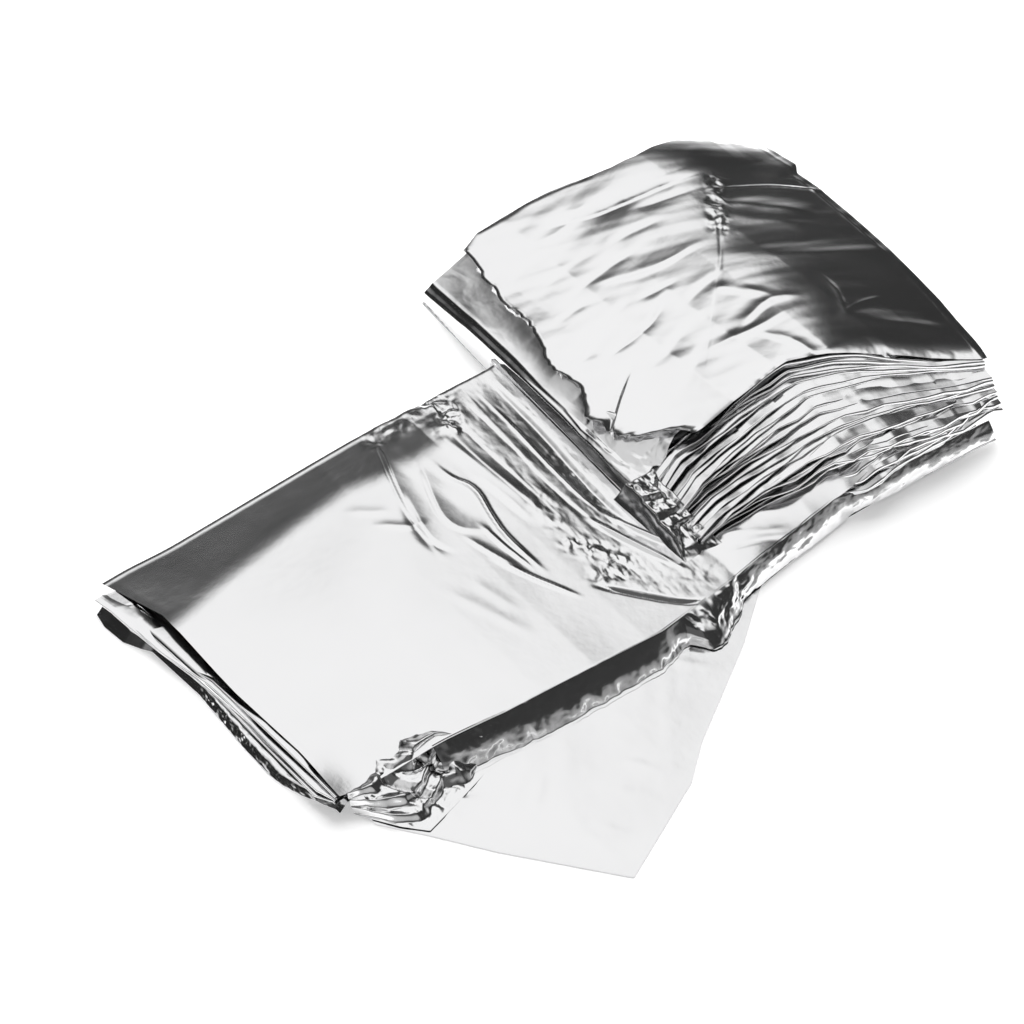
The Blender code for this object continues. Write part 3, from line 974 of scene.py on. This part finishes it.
# How far the lower folds are hidden behind the flap.
FRONT_HIDDEN, HIDDEN_FADE = 5, (92, -8)
FRONT_TUCK = Edge(x=(29, 40, 60, 74, 86), y=(11, 10, 7, 3, 0.5))
# The lowest leaves' folds lie loose towards the right, and every other fold sits further in.
LOOSE_LEAF, LOOSE_FADE = (4.6, -1.6), (55, 15)
SET_IN, SET_IN_FADE = 2.5, (66, 26)
# The slope of the folds in degrees, and the size of their tips.
FRONT_SLOPE = Edge(x=(55, 80, 96, 110, 150), y=(12, 5, -7, -15, -18))
FRONT_ROUND = Edge(x=(60, 95), y=(0.15, 0.42))
# How far each fold wanders, and how much further where it lies loose.
Wander = namedtuple("Wander", "tight loose size aside seed")
WANDER_OUT = (Wander(0.6, 2.2, 31, 0, 100), Wander(0.6, 0.8, 7, 0, 200))
WANDER_UP = (Wander(0.35, 0.5, 37, 3, 300), Wander(0.15, 0.15, 6, 0, 400))
WANDER_SLOPE = (Wander(3.5, 2, 24, 0, 500), Wander(1.2, 0, 4, 0, 550))
# A fold of a stack: the line of its tip, how deep it is, its slope in degrees and its tip's size.
Fold = namedtuple("Fold", "x y z deep slope size")
TIP_TURNS = np.radians(np.linspace(-90, 90, 6))
TIP_SQUARE = 0.4
TIP_BACK = 0.3
TREAD_SHARES = (0.08, 0.12, 0.2, 0.4, 1)


def squared(wave):
    """Return a sine or cosine pushed out from a circle's towards a rounded square's."""
    return np.sign(wave) * np.abs(wave) ** TIP_SQUARE


def edge_stack(folds, inward, lip):
    """Return the X, Y and Z of a zigzag sheet through a table of folds, from the lowest up.

    Inward is the way into the stack.  Each fold is level over its lip and then slopes down inwards,
    and its two films are joined by a tip like a rounded square that leans back.
    """
    rows = []
    for fold in folds:
        deep, size = fold.deep, fold.size
        outline = [(deep, -size), (0.45 * deep + 0.5 * size, -size)]
        for turn in TIP_TURNS:
            up = size * squared(np.sin(turn))
            outline.append((size * (1 - squared(np.cos(turn))) + TIP_BACK * (size + up), up))
        outline += [(size + share * (deep - size), size) for share in TREAD_SHARES]
        for into, up in outline:
            point = np.stack([fold.x, fold.y, fold.z], axis=-1) + np.array(inward) * into[:, None]
            point[:, 2] += up - np.tan(np.radians(fold.slope)) * np.maximum(into - lip, 0)
            rows.append(point)
    return np.moveaxis(np.stack(rows, axis=1), -1, 0)


def wandered(line, x, rows, layer, loose):
    """Return a layer's line with its wandering."""
    for row in rows:
        noise = facets(x, row.aside + 0 * x, row.size, row.seed + layer)
        line = line + (row.tight + row.loose * loose) * noise
    return line


def front_fold(layer, place, x, y, z):
    """Return one fold of the pack's front, at a place among its leaves."""
    loose = faded(place, LOOSE_LEAF) * faded(x, LOOSE_FADE)
    tuck = along_x(FRONT_TUCK, x) * np.clip((8 - place) / 6, 0, 1)
    y = wandered(y + tuck, x, WANDER_OUT, layer, loose) + SET_IN * ((layer + 1) % 2) * faded(x, SET_IN_FADE)
    z = wandered(z, x, WANDER_UP, layer, loose)
    slope = wandered(along_x(FRONT_SLOPE, x), x, WANDER_SLOPE, layer, loose)
    size = along_x(FRONT_ROUND, x) * (1 + 0.3 * wander(x, 12, 600 + layer))
    return Fold(x, y, z, TREAD + 0 * x, slope, size)


def pack_front(material):
    """Make the folded edges that show along the front of the pack."""
    x = stops(FRONT_SPAN)
    leaves = range(FRONT_LEAF, TOP_LEAF + 1)
    hidden = FRONT_HIDDEN * faded(x, HIDDEN_FADE)
    fronts = [front_edge(leaf, x) + (hidden if leaf <= FLAP_TOP else 0) for leaf in leaves]
    heights = [lie(leaf, x, front_edge(leaf, x)) for leaf in leaves]
    heights[-1] = heights[-1] - along_x(GAP_UNDER_TOP, x)
    folds = []
    for layer in range(FRONT_LAYERS):
        place = (leaves[-1] - leaves[0]) * (layer + 0.8) / (FRONT_LAYERS + 0.3)
        low = int(place)
        y = mix(fronts[low], fronts[low + 1], place - low)
        z = mix(heights[low], heights[low + 1], place - low)
        folds.append(front_fold(layer, place, x, y, z))
    film_piece("pack_front", *edge_stack(folds, inward=(0, 1, 0), lip=TIP_LIP), material)


# Finish, stage, light and camera.


FILM = {"Base Color": (0.9, 0.9, 0.905, 1.0), "Metallic": 1.0}
CLOUD = {"Scale": 40.0, "Detail": 4.0}
GLOSS = {"To Min": 0.1, "To Max": 0.2}
WRINKLE = {"Scale": 260.0, "Detail": 3.0}
BUMP = {"Strength": 0.06, "Distance": 0.0006}


def set_inputs(tree, node, inputs):
    """Set a node's inputs to values, or join them to other nodes' outputs, and return the node."""
    for name, value in inputs.items():
        if isinstance(value, bpy.types.NodeSocket):
            tree.links.new(value, node.inputs[name])
        else:
            node.inputs[name].default_value = value
    return node


def add(tree, kind, inputs):
    """Return a new node with its inputs set or joined."""
    return set_inputs(tree, tree.nodes.new(kind), inputs)


def surfaced(name, inputs):
    """Return a new material with some inputs of its shader set."""
    material = bpy.data.materials.new(name)
    material.use_nodes = True
    set_inputs(material.node_tree, material.node_tree.nodes["Principled BSDF"], inputs)
    return material


def film_material():
    """Return the metallised film: mirror-bright, with fine wrinkles and small changes of gloss."""
    material = surfaced("metallised_film", FILM)
    tree = material.node_tree
    place = tree.nodes.new("ShaderNodeTexCoord").outputs["Object"]
    cloud = add(tree, "ShaderNodeTexNoise", {"Vector": place, **CLOUD})
    gloss = add(tree, "ShaderNodeMapRange", {"Value": cloud.outputs["Fac"], **GLOSS})
    wrinkle = add(tree, "ShaderNodeTexNoise", {"Vector": place, **WRINKLE})
    bump = add(tree, "ShaderNodeBump", {"Height": wrinkle.outputs["Fac"], **BUMP})
    joined = {"Roughness": gloss.outputs["Result"], "Normal": bump.outputs["Normal"]}
    set_inputs(tree, tree.nodes["Principled BSDF"], joined)
    return material


AZIMUTH = math.radians(-37.0)
ELEVATION = math.radians(44.0)
CAMERA_LENS = 135.0
CAMERA_DISTANCE = 1228.8
LEVEL = math.cos(ELEVATION)
BACKWARD = Vector((math.sin(AZIMUTH) * LEVEL, -math.cos(AZIMUTH) * LEVEL, math.sin(ELEVATION)))


def make_camera():
    """Aim the camera at the origin of the tables."""
    camera = placed("camera", bpy.data.cameras.new("camera"))
    camera.data.lens = CAMERA_LENS
    target = Vector((-FOOTPRINT_MIDDLE[0], -FOOTPRINT_MIDDLE[1], 0.0)) * MM
    camera.location = target + BACKWARD * CAMERA_DISTANCE * MM
    camera.rotation_euler = (-BACKWARD).to_track_quat("-Z", "Y").to_euler()
    bpy.context.scene.camera = camera


FLOOR_REACH = 3.0
FLOOR = {
    "Base Color": (0.8, 0.8, 0.8, 1.0),
    "Roughness": 0.9,
    "Specular IOR Level": 0.1,
    "Emission Color": (1.0, 1.0, 1.0, 1.0),
    "Emission Strength": 0.35,
}


def make_floor():
    """Lay the pale floor."""
    corners = [(FLOOR_REACH * x, FLOOR_REACH * y, 0.0) for x, y in ((-1, -1), (1, -1), (1, 1), (-1, 1))]
    mesh = bpy.data.meshes.new("floor")
    mesh.from_pydata(corners, [], [(0, 1, 2, 3)])
    mesh.materials.append(surfaced("floor", FLOOR))
    placed("floor", mesh)


def ramp(tree, table, source):
    """Return a colour ramp's output over a value from 0 to 1."""
    node = add(tree, "ShaderNodeValToRGB", {"Fac": source})
    node.color_ramp.interpolation = "EASE"
    elements = node.color_ramp.elements
    while len(elements) > 1:
        elements.remove(elements[-1])
    elements[0].position = table[0][0]
    elements[0].color = (table[0][1],) * 3 + (1.0,)
    for position, value in table[1:]:
        elements.new(position).color = (value,) * 3 + (1.0,)
    return node.outputs["Color"]


def maths(tree, operation, *inputs):
    """Return the output of a Math node."""
    node = add(tree, "ShaderNodeMath", dict(enumerate(inputs)))
    node.operation = operation
    return node.outputs[0]


# Brightness of the studio at elevations in degrees, in four directions around the blanket; and how
# far each direction reaches, by azimuth from the camera's own (0 ahead, + to the right).
FAR_SIDE = ((0, 0.03), (14, 0.035), (24, 0.08), (38, 0.98), (72, 0.98), (84, 0.2), (90, 0.1))
HORIZON = ((0, 0.9), (6, 0.55), (14, 0.12), (20, 0))
LEFT_SIDE = ((0, 0.02), (30, 0.02), (38, 0.14), (46, 0.5), (54, 0.7), (66, 0.7), (75, 0.5), (90, 0.1))
RIGHT_SIDE = ((0, 0.42), (14, 0.3), (26, 0.04), (75, 0.025), (90, 0.1))
NEAR_SIDE = ((0, 0.6), (20, 0.5), (34, 0.1), (90, 0.1))
LEFT_REACH = ((-150, 0), (-125, 1), (-52, 1), (-34, 0))
FAR_REACH = ((-52, 0), (-34, 1), (78, 1), (92, 0))
RIGHT_REACH = ((78, 0), (92, 1), (128, 1), (148, 0))
SLANT = ((-25, 0), (-18, 0.08), (-12, 0.08), (-6, 0), (-2, 0), (6, 0.09), (16, 0.26))


BACKDROP = {"Color": (0.94, 0.94, 0.94, 1.0)}


def directions(tree):
    """Return each direction's elevation from 0 to 1, and its azimuth from 0 to 1 with 0.5 ahead."""
    place = tree.nodes.new("ShaderNodeTexCoord").outputs["Generated"]
    turned = add(tree, "ShaderNodeMapping", {"Vector": place, "Rotation": (0.0, 0.0, -AZIMUTH)})
    split = add(tree, "ShaderNodeSeparateXYZ", {"Vector": turned.outputs["Vector"]}).outputs
    lift = maths(tree, "MULTIPLY", maths(tree, "ARCSINE", split["Z"]), 2.0 / math.pi)
    turn = maths(tree, "ARCTAN2", split["X"], split["Y"])
    return lift, maths(tree, "ADD", maths(tree, "MULTIPLY", turn, 0.5 / math.pi), 0.5)


def by_lift(tree, table, lift):
    """Return a side's brightness, from a table by elevation in degrees."""
    return ramp(tree, [(degrees / 90.0, value) for degrees, value in table], lift)


def by_turn(tree, table, around):
    """Return a value from a table by azimuth in degrees."""
    return ramp(tree, [(0.5 + degrees / 360.0, value) for degrees, value in table], around)


def studio(tree):
    """Return the brightness of the studio in each direction."""
    lift, around = directions(tree)
    slanted = maths(tree, "SUBTRACT", lift, by_turn(tree, SLANT, around))
    far = maths(tree, "ADD", by_lift(tree, FAR_SIDE, slanted), by_lift(tree, HORIZON, lift))
    sides = [(far, by_turn(tree, FAR_REACH, around))]
    for table, reach in ((LEFT_SIDE, LEFT_REACH), (RIGHT_SIDE, RIGHT_REACH)):
        sides.append((by_lift(tree, table, lift), by_turn(tree, reach, around)))
    near = 1.0
    for _, share in sides:
        near = maths(tree, "SUBTRACT", near, share)
    total = maths(tree, "MULTIPLY", by_lift(tree, NEAR_SIDE, lift), near)
    for bright, share in sides:
        total = maths(tree, "ADD", total, maths(tree, "MULTIPLY", bright, share))
    return total


def make_light():
    """Light the scene from the studio, which the camera itself sees as an even backdrop."""
    world = bpy.data.worlds.new("studio")
    bpy.context.scene.world = world
    world.use_nodes = True
    tree = world.node_tree
    light = set_inputs(tree, tree.nodes["Background"], {"Color": studio(tree)})
    backdrop = add(tree, "ShaderNodeBackground", BACKDROP)
    seen = tree.nodes.new("ShaderNodeLightPath").outputs["Is Camera Ray"]
    choose = add(tree, "ShaderNodeMixShader", {0: seen, 1: light.outputs[0], 2: backdrop.outputs[0]})
    set_inputs(tree, tree.nodes["World Output"], {"Surface": choose.outputs[0]})
    bpy.context.scene.view_settings.view_transform = "Standard"


FILL_SIZE = 1.6
FILL_POWER = 50.0
FILL_PLACE = (0.75, 1.0, 0.8)


def make_fill():
    """Light the floor from above, so that the blanket's soft shadow shows on it."""
    lamp = bpy.data.lights.new("fill", "AREA")
    lamp.shape = "DISK"
    lamp.size = FILL_SIZE
    lamp.energy = FILL_POWER
    light = placed("fill", lamp)
    light.location = FILL_PLACE
    light.rotation_euler = (-light.location).to_track_quat("-Z", "Y").to_euler()
    light.visible_glossy = False


def build():
    """Build the blanket and its stage."""
    film = film_material()
    for make in (loose_sheet, flap_top, flap_front, corner_twist, flap_end, end_strip):
        make(film)
    for row in BUNDLES:
        bundle(row, film)
    for make in (pack_front, pack_corner, pack_fold, pack_top):
        make(film)
    for make in (make_floor, make_light, make_fill, make_camera):
        make()


build()
